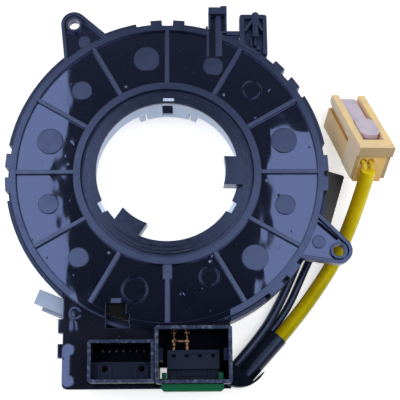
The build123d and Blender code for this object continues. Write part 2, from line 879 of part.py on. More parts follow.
# Green retainer: a bar below the right socket with an arm into each of its lower corners
with BuildPart() as green_retainer:
    with BuildSketch(Plane.XY.offset(retainer_low_z)) as retainer_plan:
        rectangle_between(
            retainer_x, right_low - seat_gap - retainer_t, retainer_x + retainer_w, right_low - seat_gap
        )
        chamfer(retainer_plan.vertices().group_by(Axis.Y)[0], retainer_cut)
    extrude(amount=retainer_top_z - retainer_low_z)
    for x in (retainer_x, retainer_x + retainer_w - arm_w):
        box_between(
            (x, right_low - retainer_t / 2, retainer_low_z),
            (x + arm_w, right_low + right_wall + arm_in, retainer_low_z + arm_h),
        )

# Rotor: the sleeve through the bore, the drum that takes the flat cable and the front disc
with BuildPart() as rotor:
    flare = flare_z - disc_low
    with BuildSketch(Plane.XZ):
        with BuildLine():
            Polyline(
                (sleeve_r, ring_low), (sleeve_r + sleeve_wall, ring_low),
                (sleeve_r + sleeve_wall, web_top), (drum_r - drum_wall, web_top),
                (drum_r - drum_wall, drum_top), (drum_r, drum_top), (drum_r, disc_top),
                (disc_r, disc_top), (disc_r, disc_low), (sleeve_r + flare, disc_low),
                (sleeve_r, flare_z), close=True,
            )
        make_face()
    revolve(axis=Axis.Z)
    # Guard wall, deeper than the rest of the sleeve, with a slit near each end and a window
    with BuildSketch(Plane.XY.offset(guard_low)):
        with BuildLine():
            guard_span = guard_angles[1] - guard_angles[0]
            outer_arc = CenterArc((0, 0), sleeve_r + sleeve_wall, guard_angles[0], guard_span)
            inner_arc = CenterArc((0, 0), sleeve_r, guard_angles[0], guard_span)
            Line(outer_arc @ 0, inner_arc @ 0)
            Line(outer_arc @ 1, inner_arc @ 1)
        make_face()
    extrude(amount=flare_z + sunk - guard_low)
    for angle in guard_slits:
        with BuildSketch(Plane.XY.offset(guard_low - past)):
            with Locations(Location((0, 0), angle)):
                with Locations((sleeve_r + sleeve_wall / 2, 0)):
                    Rectangle(2 * sleeve_wall, guard_slit_w)
        extrude(amount=flare_z - guard_low + past, mode=Mode.SUBTRACT)
    box_between(
        (-guard_window_w / 2, sleeve_r - past, guard_window_low),
        (guard_window_w / 2, sleeve_r + sleeve_wall, guard_window_top),
        mode=Mode.SUBTRACT,
    )
    # Latch hooks that hold the retaining ring
    for angle in latch_angles:
        with BuildSketch(Plane.XY.offset(ring_low - sunk)):
            with Locations(Location((0, 0), angle)):
                with Locations(((latch_in_r + ring_step_r) / 2, 0)):
                    Rectangle(ring_step_r - latch_in_r - 2 * seat_gap, latch_w - 2 * seat_gap)
        extrude(amount=sunk + ring_top - latch_drop - ring_low)
    # Drive pins
    with BuildSketch(Plane.XY.offset(front_z)):
        with PolarLocations(drive_pin_r, 2):
            Circle(drive_pin_d / 2)
    extrude(amount=disc_low + sunk - front_z)

# Retaining ring: it closes the running groove behind the cover's lip, and carries two pegs
with BuildPart() as retaining_ring:
    with BuildSketch(Plane.XZ):
        with BuildLine():
            Polyline(
                (bore_r, ring_low), (skirt_r, ring_low), (skirt_r, lip_top + face_gap),
                (ring_out_r, lip_top + face_gap), (ring_out_r, ring_top - ring_edge_drop),
                (ring_land_r, ring_top - ring_edge_drop), (ring_land_r, ring_top - ring_step),
                (ring_step_r, ring_top - ring_step), (ring_step_r, ring_top), (bore_r, ring_top),
                close=True,
            )
        make_face()
    revolve(axis=Axis.Z)
    for angle in peg_angles:
        for outer_r, low, high in (
            (ring_step_r, ring_low, peg_top),
            (bore_r + peg_root, peg_low, ring_low + sunk),
        ):
            with BuildSketch(Plane.XY.offset(low)):
                with Locations(Location((0, 0), angle)):
                    with Locations(((peg_in_r + outer_r) / 2, 0)):
                        Rectangle(2 * (outer_r - peg_in_r), peg_w)
                Circle(outer_r, mode=Mode.INTERSECT)
                Circle(peg_in_r, mode=Mode.SUBTRACT)
            extrude(amount=high - low)
    # The first latch shows in a closed window, the others in notches open to the bore
    for number, angle in enumerate(latch_angles):
        inner = latch_in_r - seat_gap if number == 0 else bore_r - 1
        with BuildSketch(Plane.XY.offset(ring_low - past)):
            with Locations(Location((0, 0), angle)):
                with Locations(((inner + ring_step_r) / 2, 0)):
                    Rectangle(ring_step_r - inner, latch_w)
        extrude(amount=ring_top - ring_low + 2 * past, mode=Mode.SUBTRACT)


def wheel_socket(socket, side, width):
    """Cuts the mouth of a steering-wheel socket, open to the front."""
    inner = wheel_socket_y + wheel_socket_wall
    outer = wheel_socket_y + wheel_socket_h - wheel_socket_wall
    low_y, high_y = sorted((side * inner, side * outer))
    box_between(
        (-width / 2 + wheel_socket_wall, low_y, front_z - past),
        (width / 2 - wheel_socket_wall, high_y, front_z + wheel_socket_deep),
        mode=Mode.SUBTRACT,
    )


# Sockets for the steering wheel's plugs, and their terminals
with BuildPart() as wheel_socket_top:
    box_between(
        (-wheel_socket_w / 2, wheel_socket_y, front_z),
        (wheel_socket_w / 2, wheel_socket_y + wheel_socket_h, disc_low),
    )
    fillet(wheel_socket_top.edges().filter_by(Axis.Z), 1.0)
    wheel_socket(wheel_socket_top, 1, wheel_socket_w)
with BuildPart() as wheel_socket_low:
    box_between(
        (-low_socket_w / 2, -wheel_socket_y - wheel_socket_h, front_z),
        (low_socket_w / 2, -wheel_socket_y, disc_low),
    )
    fillet(wheel_socket_low.edges().filter_by(Axis.Z), 1.0)
    wheel_socket(wheel_socket_low, -1, low_socket_w)
wheel_pin_y = wheel_socket_y + wheel_socket_h / 2 + wheel_pin_shift
wheel_pin_z = front_z + wheel_socket_deep - wheel_pin_l / 2
with BuildPart() as wheel_terminals_top:
    with Locations((0, wheel_pin_y, wheel_pin_z)):
        with GridLocations(wheel_pin_pitch, 1, 6, 1):
            Box(pin_t, pin_t, wheel_pin_l)
with BuildPart() as wheel_terminals_low:
    with Locations((0, -wheel_pin_y, wheel_pin_z)):
        with GridLocations(wheel_pin_pitch, 1, 4, 1):
            Box(pin_t, pin_t, wheel_pin_l)

# Slip film under the cover's panel
with BuildPart() as slip_film:
    with BuildSketch(Plane.XY.offset(cover_low - film_t)):
        Circle(cover_r - rim_w / 2 - run_gap)
        Circle(hub_rim_r + run_gap, mode=Mode.SUBTRACT)
    extrude(amount=film_t)

# Flat cable: half turns with two centres make the coil
cable_top = cover_low - film_t - film_gap
with BuildPart() as flat_cable:
    for turn in range(cable_half_turns):
        radius = cable_in_r + turn * cable_pitch / 2
        centre = (cable_pitch / 4 if turn % 2 else -cable_pitch / 4, 0)
        start = 180 if turn % 2 else 0
        with BuildSketch(Plane.XY.offset(cable_top - cable_w)):
            with BuildLine():
                outer_arc = CenterArc(centre, radius + cable_t / 2, start, 180)
                inner_arc = CenterArc(centre, radius - cable_t / 2, start, 180)
                Line(outer_arc @ 0, inner_arc @ 0)
                Line(outer_arc @ 1, inner_arc @ 1)
            make_face()
        extrude(amount=cable_w)

# Terminal block behind the right socket, and the anchor of the flat cable on the drum
cable_out_r = cable_in_r + cable_half_turns * cable_pitch / 2
with BuildPart() as terminal_block:
    box_between(
        (-block_w / 2, right_top + 2 * seat_gap, cable_top - block_h),
        (block_w / 2, -cable_out_r - coil_gap, deck_under - seat_gap),
    )
with BuildPart() as cable_anchor:
    with BuildSketch(Plane.XY.offset(disc_top)):
        rectangle_between(-anchor_w / 2, 0, anchor_w / 2, drum_r + anchor_t)
        Circle(drum_r, mode=Mode.SUBTRACT)
    extrude(amount=cable_w)

# Guide under the block's lower right corner, with a fin at the outer side of its exit
along = (cos(radians(exit_turn)), sin(radians(exit_turn)))
across = (sin(radians(exit_turn)), -cos(radians(exit_turn)))


def at_exit(side, ahead):
    """A point in plan: side is across the leads and ahead is along them."""
    return (
        exit_at[0] + side * across[0] + ahead * along[0],
        exit_at[1] + side * across[1] + ahead * along[1],
    )


with BuildPart() as cable_guide:
    with BuildSketch(Plane.XY.offset(table)):
        with BuildLine():
            Polyline(
                at_exit(guide_right, 0), at_exit(-guide_left, 0),
                (guide_back_x, at_exit(-guide_left, 0)[1]), (guide_back_x, guide_low_y),
                (guide_corner_x, guide_low_y),
            )
            ThreePointArc(
                (guide_corner_x, guide_low_y), at_exit(fin_side, 0), at_exit(fin_side, fin_reach)
            )
            Line(at_exit(fin_side, fin_reach), at_exit(guide_right, 0))
        make_face()
    extrude(amount=case_low - table)

# Tape round the yellow sheath's and the second black tube's first stretch
exit_plane = Plane(
    origin=(exit_at[0], exit_at[1], table), x_dir=(across[0], across[1], 0), z_dir=(along[0], along[1], 0)
)
with BuildPart() as tape_wrap:
    with BuildSketch(exit_plane):
        with Locations((yellow_side, -yellow_d / 2 - lay_gap)):
            Circle(yellow_d / 2 + tape_t)
        with Locations((black_b_side, -black_b_d / 2 - lay_gap)):
            Circle(black_b_d / 2)
        make_hull()
        rectangle_between(-10, 0, 10, 5, mode=Mode.SUBTRACT)
    extrude(amount=tape_l)


def tube(points, diameter, label):
    """The corner radii of a lead's tube: 0.45 of the shorter run over the tangent of half the turn."""
    corners = [Vector(*p) for p in points]
    radii = []
    for before, here, after in zip(corners, corners[1:], corners[2:]):
        turn = (here - before).get_angle(after - here)
        run = min((here - before).length, (after - here).length)
        radii.append(run_share * run / tan(radians(turn / 2)))
    print(label, "diameter", diameter, "radii", [round(r, 1) for r in radii])
    return radii


def say_volume(lead, line, diameter, label):
    """Compares a tube's volume with its section times its length."""
    length = sum(edge.length for edge in line.edges())
    expected = pi * diameter**2 / 4 * length
    print(label, "length", round(length, 1), "volume", round(lead.volume, 1), "expected", round(expected, 1))


# Yellow sheath, from the tape to the yellow plug
toward_u = (
    cos(radians(plug_lift)) * cos(radians(plug_heading)),
    cos(radians(plug_lift)) * sin(radians(plug_heading)),
    sin(radians(plug_lift)),
)
level_v = Vector(-sin(radians(plug_heading)), cos(radians(plug_heading)), 0)
plug_u = Vector(*toward_u)
level_n = plug_u.cross(level_v)
plug_n = level_n * cos(radians(plug_roll)) - level_v * sin(radians(plug_roll))
plug_plane = Plane(origin=plug_at, x_dir=plug_u, z_dir=plug_n)
sheath_end = plug_plane.from_local_coords(
    (plug_l + wire_out - body_back, plug_w / 2 + wire_side, -wire_level - wire_down)
)
yellow_start = at_exit(yellow_side, tape_l)
yellow_points = (
    (yellow_start[0], yellow_start[1], table + yellow_d / 2 + lay_gap),
    (*at_exit(yellow_side, tape_l + yellow_run), table + yellow_d / 2 + lay_gap),
    (61.8, -20.4, table + yellow_d / 2 + lay_gap + yellow_lift),
    (sheath_end.X, sheath_end.Y, sheath_end.Z),
)
yellow_radii = tube(yellow_points, yellow_d, "yellow sheath")
with BuildPart() as yellow_sheath:
    with BuildLine() as yellow_line:
        FilletPolyline(*yellow_points, radius=yellow_radii)
    with BuildSketch(Plane(origin=yellow_line.line @ 0, z_dir=yellow_line.line % 0)):
        Circle(yellow_d / 2)
    sweep()
say_volume(yellow_sheath.part, yellow_line.line, yellow_d, "yellow sheath")

# Black plug at the right, and the two black tubes that run to it under the ring
plug_dir = (cos(radians(black_plug_turn)), sin(radians(black_plug_turn)))
plug_side = (plug_dir[1], -plug_dir[0])


def at_black_plug(side, back):
    """A point in plan: side is from the plug's middle to the right, back is from its far end."""
    return (
        black_plug_corner[0] + (side - black_plug_w / 2) * plug_side[0] - back * plug_dir[0],
        black_plug_corner[1] + (side - black_plug_w / 2) * plug_side[1] - back * plug_dir[1],
    )


black_plug_plane = Plane(
    origin=(*at_black_plug(0, black_plug_l / 2), table + lay_gap), x_dir=(*plug_dir, 0), z_dir=(0, 0, 1)
)
with BuildPart() as black_plug:
    with BuildSketch(black_plug_plane):
        RectangleRounded(black_plug_l, black_plug_w, black_plug_round)
    extrude(amount=black_plug_h)
    mate_face = Plane(
        origin=(*at_black_plug(0, 0), table + black_plug_h / 2), x_dir=(*plug_side, 0), z_dir=(*plug_dir, 0)
    )
    with BuildSketch(mate_face):
        with GridLocations(2 * black_plug_pin, 1, 2, 1):
            Rectangle(mate_hole, mate_hole)
    extrude(amount=-mate_hole_deep, mode=Mode.SUBTRACT)

black_a_start = at_exit(black_a_side, 0)
black_a_end = at_black_plug(-black_plug_pin, black_plug_l)
black_a_low = table + black_a_d / 2 + lay_gap
black_a_points = (
    (black_a_start[0], black_a_start[1], table + black_a_rise),
    (*at_exit(black_a_side, black_a_run), table + black_a_rise),
    (37.6, -42.2, black_a_low + black_a_lift),
    (42.4, -32.0, black_a_low),
    (*at_black_plug(-black_plug_pin, black_plug_l + black_a_lead_in), black_a_low),
    (black_a_end[0], black_a_end[1], black_a_low),
)
black_b_start = at_exit(black_b_side, tape_l)
black_b_end = at_black_plug(black_plug_pin, black_plug_l)
black_b_low = table + black_b_d / 2 + lay_gap
black_b_points = (
    (black_b_start[0], black_b_start[1], black_b_low),
    (*at_exit(black_b_side, tape_l + black_b_run), black_b_low),
    (47.0, -30.0, black_b_low),
    (*at_black_plug(black_plug_pin, black_plug_l + black_b_lead_in), black_b_low),
    (black_b_end[0], black_b_end[1], black_b_low),
)
black_a_radii = tube(black_a_points, black_a_d, "black tube a")
with BuildPart() as black_tube_a:
    with BuildLine() as black_a_line:
        FilletPolyline(*black_a_points, radius=black_a_radii)
    with BuildSketch(Plane(origin=black_a_line.line @ 0, z_dir=black_a_line.line % 0)):
        Circle(black_a_d / 2)
    sweep()
say_volume(black_tube_a.part, black_a_line.line, black_a_d, "black tube a")
black_b_radii = tube(black_b_points, black_b_d, "black tube b")
with BuildPart() as black_tube_b:
    with BuildLine() as black_b_line:
        FilletPolyline(*black_b_points, radius=black_b_radii)
    with BuildSketch(Plane(origin=black_b_line.line @ 0, z_dir=black_b_line.line % 0)):
        Circle(black_b_d / 2)
    sweep()
say_volume(black_tube_b.part, black_b_line.line, black_b_d, "black tube b")

# Yellow plug. In its own plane x runs to the cable end, y across and z up out of the top
body_l = plug_l - body_back
with BuildPart() as plug_body:
    with BuildSketch(plug_plane.offset(-plug_h)):
        rectangle_between(0, shell_t, body_l, plug_w - shell_t)
    extrude(amount=plug_h - shell_skirt)
    with BuildSketch(plug_plane.offset(-plug_h)):
        rectangle_between(0, side_panel_in, side_panel_l - side_panel_gap, plug_w - side_panel_in)
    extrude(amount=plug_h - side_panel_top)
    with BuildSketch(plug_plane.offset(-plug_h - keel_h)):
        rectangle_between(keel_from, shell_t, body_l, plug_w - shell_t)
    extrude(amount=keel_h + sunk)
    end_plane = Plane(
        origin=plug_plane.from_local_coords((body_l, plug_w / 2 + wire_side, -wire_level)),
        x_dir=plug_plane.y_dir, z_dir=plug_plane.x_dir,
    )
    with BuildSketch(end_plane):
        with GridLocations(wire_apart, 1, 2, 1):
            Circle(wire_hole_d / 2)
    extrude(amount=-wire_hole_deep, mode=Mode.SUBTRACT)
    mate_plane = Plane(
        origin=plug_plane.from_local_coords((0, plug_w / 2, -mate_level)),
        x_dir=plug_plane.y_dir, z_dir=-plug_plane.x_dir,
    )
    with BuildSketch(mate_plane):
        with GridLocations(2 * wire_apart, 1, 2, 1):
            Rectangle(mate_hole, mate_hole)
    extrude(amount=-mate_hole_deep, mode=Mode.SUBTRACT)

# Its shell: a cap with two rails, a skirt at the cable end and a leg down each side
with BuildPart() as plug_shell:
    with BuildSketch(plug_plane.offset(-shell_skirt)):
        rectangle_between(0, 0, plug_l, plug_w)
    extrude(amount=shell_skirt)
    with BuildSketch(plug_plane.offset(-rail_deep)):
        rectangle_between(-past, rail_w, plug_l - frame_bar, plug_w - rail_w)
    extrude(amount=rail_deep + past, mode=Mode.SUBTRACT)
    with BuildSketch(plug_plane.offset(-plug_h)):
        rectangle_between(side_panel_l, 0, body_l, shell_t - shell_gap)
        rectangle_between(side_panel_l, plug_w - shell_t + shell_gap, body_l, plug_w)
    extrude(amount=plug_h - shell_skirt + sunk)
    with BuildSketch(plug_plane.offset(-shell_skirt - shell_gap)):
        rectangle_between(0, 0, plug_l - frame_bar - rail_l / 2, skirt_step_w)
        rectangle_between(0, plug_w - skirt_step_w, plug_l - frame_bar - rail_l / 2, plug_w)
    extrude(amount=skirt_step_h, mode=Mode.SUBTRACT)

# Its white lock slide, between the rails
with BuildPart() as plug_lock:
    lock_mid = plug_w / 2
    lock_edge = lock_mid - lock_head_w / 2
    with BuildSketch(plug_plane.offset(-rail_deep)):
        rectangle_between(
            lock_from, lock_edge, lock_from + lock_l - lock_head_l / 2, lock_edge + lock_neck_w
        )
    extrude(amount=lock_t)
    with BuildSketch(plug_plane.offset(-rail_deep + lock_t / 2)) as lock_head:
        rectangle_between(
            lock_from + lock_l - lock_head_l, lock_mid - lock_head_w / 2,
            lock_from + lock_l, lock_mid + lock_head_w / 2,
        )
        fillet(lock_head.vertices(), lock_head_round)
    extrude(amount=lock_t)

# Two wires from the plug's cable end into the sheath
wire_points = (
    (body_l - wire_hole_deep, plug_w / 2 + wire_side, -wire_level),
    (body_l + wire_out, plug_w / 2 + wire_side, -wire_level),
    (body_l + wire_out, plug_w / 2 + wire_side, -wire_level - wire_down),
)
with BuildPart() as plug_wires:
    for side in (-1, 1):
        route = [
            plug_plane.from_local_coords((x, y + side * wire_apart / 2, z)) for x, y, z in wire_points
        ]
        with BuildLine() as wire_line:
            FilletPolyline(*route, radius=wire_bend_r)
        with BuildSketch(Plane(origin=wire_line.line @ 0, z_dir=wire_line.line % 0)):
            Circle(wire_d / 2)
        sweep(path=wire_line.line)

# White tab against the block's left side: a thick slab over a thin lip
tab_right = deck_left + tray_inset
with BuildPart() as white_tab:
    with BuildSketch(Plane.XY.offset(tab_top - tab_t)):
        with Locations(Location((tab_right, tab_y), tab_turn)):
            Rectangle(2 * tab_l, tab_w)
        rectangle_between(
            tab_right, tab_y - 2 * tab_l, tab_right + 2 * tab_l, tab_y + 2 * tab_l, mode=Mode.SUBTRACT
        )
        Circle(case_r, mode=Mode.SUBTRACT)
    extrude(amount=tab_t)
    with BuildSketch(Plane.XY.offset(tab_lip_low)):
        with Locations(Location((tab_right, tab_y - tab_lip_shift), tab_turn)):
            Rectangle(2 * tab_lip_l, tab_lip_w)
        rectangle_between(
            tab_right, tab_y - 2 * tab_l, tab_right + 2 * tab_l, tab_y + 2 * tab_l, mode=Mode.SUBTRACT
        )
        Circle(case_r, mode=Mode.SUBTRACT)
    extrude(amount=tab_lip_t)
    box_between(
        (tab_right - tab_w / 2, tab_y - tab_w / 3, tab_lip_low),
        (tab_right, tab_y + tab_w / 3, tab_top - sunk),
    )

pieces = {
    "rear_cover": rear_cover,
    "outer_case": outer_case,
    "left_socket": left_socket,
    "right_socket": right_socket,
    "left_terminals": left_terminals,
    "right_insert": right_insert,
    "shorting_clip": shorting_clip,
    "green_retainer": green_retainer,
    "slip_film": slip_film,
    "flat_cable": flat_cable,
    "terminal_block": terminal_block,
    "rotor": rotor,
    "retaining_ring": retaining_ring,
    "wheel_socket_top": wheel_socket_top,
    "wheel_socket_low": wheel_socket_low,
    "wheel_terminals_top": wheel_terminals_top,
    "wheel_terminals_low": wheel_terminals_low,
    "cable_anchor": cable_anchor,
    "cable_guide": cable_guide,
    "tape_wrap": tape_wrap,
    "yellow_sheath": yellow_sheath,
    "black_tube_a": black_tube_a,
    "black_tube_b": black_tube_b,
    "black_plug": black_plug,
    "plug_body": plug_body,
    "plug_shell": plug_shell,
    "plug_lock": plug_lock,
    "plug_wires": plug_wires,
    "white_tab": white_tab,
}
for name, piece in pieces.items():
    piece.part.label = name
    export_step(piece.part, f"parts/{name}.step")
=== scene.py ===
import bpy
from math import pi, radians
from mathutils import Matrix, Vector


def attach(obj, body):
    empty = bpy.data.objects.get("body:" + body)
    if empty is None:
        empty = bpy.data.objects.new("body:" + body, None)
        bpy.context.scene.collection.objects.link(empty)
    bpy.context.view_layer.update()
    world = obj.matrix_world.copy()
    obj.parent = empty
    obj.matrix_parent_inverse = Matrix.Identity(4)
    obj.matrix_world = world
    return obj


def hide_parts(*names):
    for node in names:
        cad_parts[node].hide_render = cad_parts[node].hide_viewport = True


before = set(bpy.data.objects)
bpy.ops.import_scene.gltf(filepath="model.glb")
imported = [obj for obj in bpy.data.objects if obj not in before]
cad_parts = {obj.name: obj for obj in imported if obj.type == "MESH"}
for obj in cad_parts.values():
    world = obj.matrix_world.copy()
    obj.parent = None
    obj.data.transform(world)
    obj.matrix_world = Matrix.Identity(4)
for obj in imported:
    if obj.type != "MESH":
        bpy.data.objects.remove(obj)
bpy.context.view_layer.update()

scene = bpy.context.scene
MM = 0.001
TABLE = -0.022

# Camera, from the photograph
FOCAL_PIXELS = 996.0
PICTURE_PIXELS = 400.0
SENSOR_MM = 36.0
CAMERA_DISTANCE = 0.3269
right = Vector((0.99981, -0.00799, 0.01751))
up = Vector((0.00385, 0.97428, 0.22532))
back = Vector((-0.01886, -0.22521, 0.97413))
target = Vector((0.01073, -0.00976, 0.0))
camera_data = bpy.data.cameras.new("camera")
camera_data.sensor_width = SENSOR_MM
camera_data.lens = FOCAL_PIXELS / PICTURE_PIXELS * SENSOR_MM
camera_data.clip_start = 0.01
camera_data.clip_end = 20.0
camera = bpy.data.objects.new("camera", camera_data)
turn = Matrix((right, up, back)).transposed().to_4x4()
camera.matrix_world = Matrix.Translation(target + back * CAMERA_DISTANCE) @ turn
scene.collection.objects.link(camera)
scene.camera = camera


# Materials: helpers
def node(tree, kind, **settings):
    made = tree.nodes.new(kind)
    for key, value in settings.items():
        setattr(made, key, value)
    return made


def start(name):
    """A new material with its tree, its shader and the coordinates of the row's frame."""
    material = bpy.data.materials.new(name)
    material.use_nodes = True
    tree = material.node_tree
    shader = next(n for n in tree.nodes if n.type == "BSDF_PRINCIPLED")
    coords = node(tree, "ShaderNodeTexCoord").outputs["Object"]
    return material, tree, shader, coords


def noise(tree, coords, scale, detail=3.0, rough=0.55, stretch=None):
    """A noise texture in the row's frame: scale is in cells per metre."""
    source = coords
    if stretch:
        mapping = node(tree, "ShaderNodeMapping")
        mapping.inputs["Scale"].default_value = stretch
        tree.links.new(coords, mapping.inputs["Vector"])
        source = mapping.outputs["Vector"]
    made = node(tree, "ShaderNodeTexNoise")
    made.inputs["Scale"].default_value = scale
    made.inputs["Detail"].default_value = detail
    made.inputs["Roughness"].default_value = rough
    tree.links.new(source, made.inputs["Vector"])
    return made.outputs["Fac"]


def spread(tree, value, low, high, a=0.0, b=1.0):
    """Goes from a to b while the value goes from low to high, and no further."""
    made = node(tree, "ShaderNodeMapRange")
    made.inputs["From Min"].default_value = low
    made.inputs["From Max"].default_value = high
    made.inputs["To Min"].default_value = a
    made.inputs["To Max"].default_value = b
    tree.links.new(value, made.inputs["Value"])
    return made.outputs["Result"]


def drift(tree, coords, scale, detail=4.0, rough=0.55, a=0.0, b=1.0):
    """A noise texture whose usual range is spread from a to b."""
    return spread(tree, noise(tree, coords, scale, detail, rough), 0.3, 0.7, a, b)


def maths(tree, kind, a, b=None):
    made = node(tree, "ShaderNodeMath", operation=kind)
    for socket, value in zip(made.inputs, (a, b)):
        if value is None:
            continue
        if isinstance(value, (int, float)):
            socket.default_value = value
        else:
            tree.links.new(value, socket)
    return made.outputs[0]


def between(tree, value, low, high):
    """One where the value lies between the two limits, else zero."""
    above = maths(tree, "GREATER_THAN", value, low)
    below = maths(tree, "LESS_THAN", value, high)
    return maths(tree, "MULTIPLY", above, below)


def mix_colour(tree, factor, a, b):
    """A blend from a to b, each a socket or a plain colour."""
    made = node(tree, "ShaderNodeMix", data_type="RGBA")
    for socket, value in ((made.inputs[6], a), (made.inputs[7], b)):
        if hasattr(value, "is_linked"):
            tree.links.new(value, socket)
        else:
            socket.default_value = (*value, 1.0)
    tree.links.new(factor, made.inputs[0])
    return made.outputs[2]


def mix_number(tree, factor, a, b):
    """A blend from a to b, both sockets."""
    made = node(tree, "ShaderNodeMix", data_type="FLOAT")
    tree.links.new(factor, made.inputs[0])
    tree.links.new(a, made.inputs[2])
    tree.links.new(b, made.inputs[3])
    return made.outputs[0]


def split_xyz(tree, vector):
    made = node(tree, "ShaderNodeSeparateXYZ")
    tree.links.new(vector, made.inputs[0])
    return made.outputs


def facing(tree):
    """X, Y and Z of the direction in which the face looks, in the shared frame."""
    return split_xyz(tree, node(tree, "ShaderNodeNewGeometry").outputs["True Normal"])


def axis_distance(tree, place):
    """The distance from the bore's axis. place holds the X, Y and Z sockets."""
    plan = node(tree, "ShaderNodeCombineXYZ")
    tree.links.new(place["X"], plan.inputs["X"])
    tree.links.new(place["Y"], plan.inputs["Y"])
    made = node(tree, "ShaderNodeVectorMath", operation="LENGTH")
    tree.links.new(plan.outputs[0], made.inputs[0])
    return made.outputs["Value"]


def soft_edges(tree, radius):
    made = node(tree, "ShaderNodeBevel", samples=4)
    made.inputs["Radius"].default_value = radius
    return made.outputs["Normal"]


def bump(tree, height, distance, below=None, strength=1.0):
    made = node(tree, "ShaderNodeBump")
    made.inputs["Strength"].default_value = strength
    made.inputs["Distance"].default_value = distance
    tree.links.new(height, made.inputs["Height"])
    if below:
        tree.links.new(below, made.inputs["Normal"])
    return made.outputs["Normal"]


def connect(tree, shader, colour, rough, normal):
    tree.links.new(colour, shader.inputs["Base Color"])
    tree.links.new(rough, shader.inputs["Roughness"])
    tree.links.new(normal, shader.inputs["Normal"])


def set_shine(shader, tint, level=0.5):
    shader.inputs["Specular IOR Level"].default_value = level
    shader.inputs["Specular Tint"].default_value = (*tint, 1.0)


def let_light_in(shader, weight, reach):
    """Light scatters below the surface; reach is how far, in metres, for red, green and blue."""
    shader.inputs["Subsurface Weight"].default_value = weight
    shader.inputs["Subsurface Radius"].default_value = reach
    shader.inputs["Subsurface Scale"].default_value = 1.0


# Materials: recipes
SHADE_SCALE = 90.0
GLOSSY_IOR = 1.7
WHITE = (1.0, 1.0, 1.0)
BLUE = (0.45, 0.56, 1.0)
GREY_SCUFF = (0.09, 0.10, 0.13)

# The cover's faces are told apart by their heights: from, to
PANEL_Z = (-0.00155, -0.00142)
WEB_Z = (-0.00165, -0.00155)
DECK_Z = (-0.00208, -0.00192)
PAD_MARK_Z = (-0.00178, -0.00172)
GATE_MARK_Z = (-0.00134, -0.00126)
RIB_Z = (-0.00018, -0.00012)
RIM_Z = (-0.00005, 0.00005)
RIM_BY_DECK_X = (-0.031, 0.0202)
RIM_BY_DECK_Y = -0.0405
LOOKS_REAR = 0.9
PANEL_SLOPE = 0.038
DECK_SLOPE = 0.034


def plastic(name, colour, rough=0.4, change=0.12, grain=3500.0, grain_depth=0.00002, edge=0.00018,
            level=0.5, tint=WHITE, sss=0.0, scuffs=0.0, scuff_colour=GREY_SCUFF):
    """Moulded plastic: a slow change of shade, fine grain, softened edges and light scuffs."""
    material, tree, shader, coords = start(name)
    dark = tuple(c * (1 - change) for c in colour)
    light = tuple(min(1.0, c * (1 + change)) for c in colour)
    base = mix_colour(tree, drift(tree, coords, SHADE_SCALE), dark, light)
    if scuffs:
        marks = noise(tree, coords, 420.0, 8.0, 0.75, stretch=(1.0, 0.16, 1.0))
        base = mix_colour(tree, spread(tree, marks, 0.66, 0.78, 0.0, scuffs), base, scuff_colour)
    worn = drift(tree, coords, 240.0, 5.0, 0.6, rough * 0.88, rough * 1.14)
    edges = soft_edges(tree, edge) if edge else None
    normal = bump(tree, noise(tree, coords, grain, 2.0), grain_depth, edges, 0.6)
    connect(tree, shader, base, worn, normal)
    set_shine(shader, tint, level)
    if sss:
        let_light_in(shader, sss, (0.0025, 0.002, 0.0012))
    return material


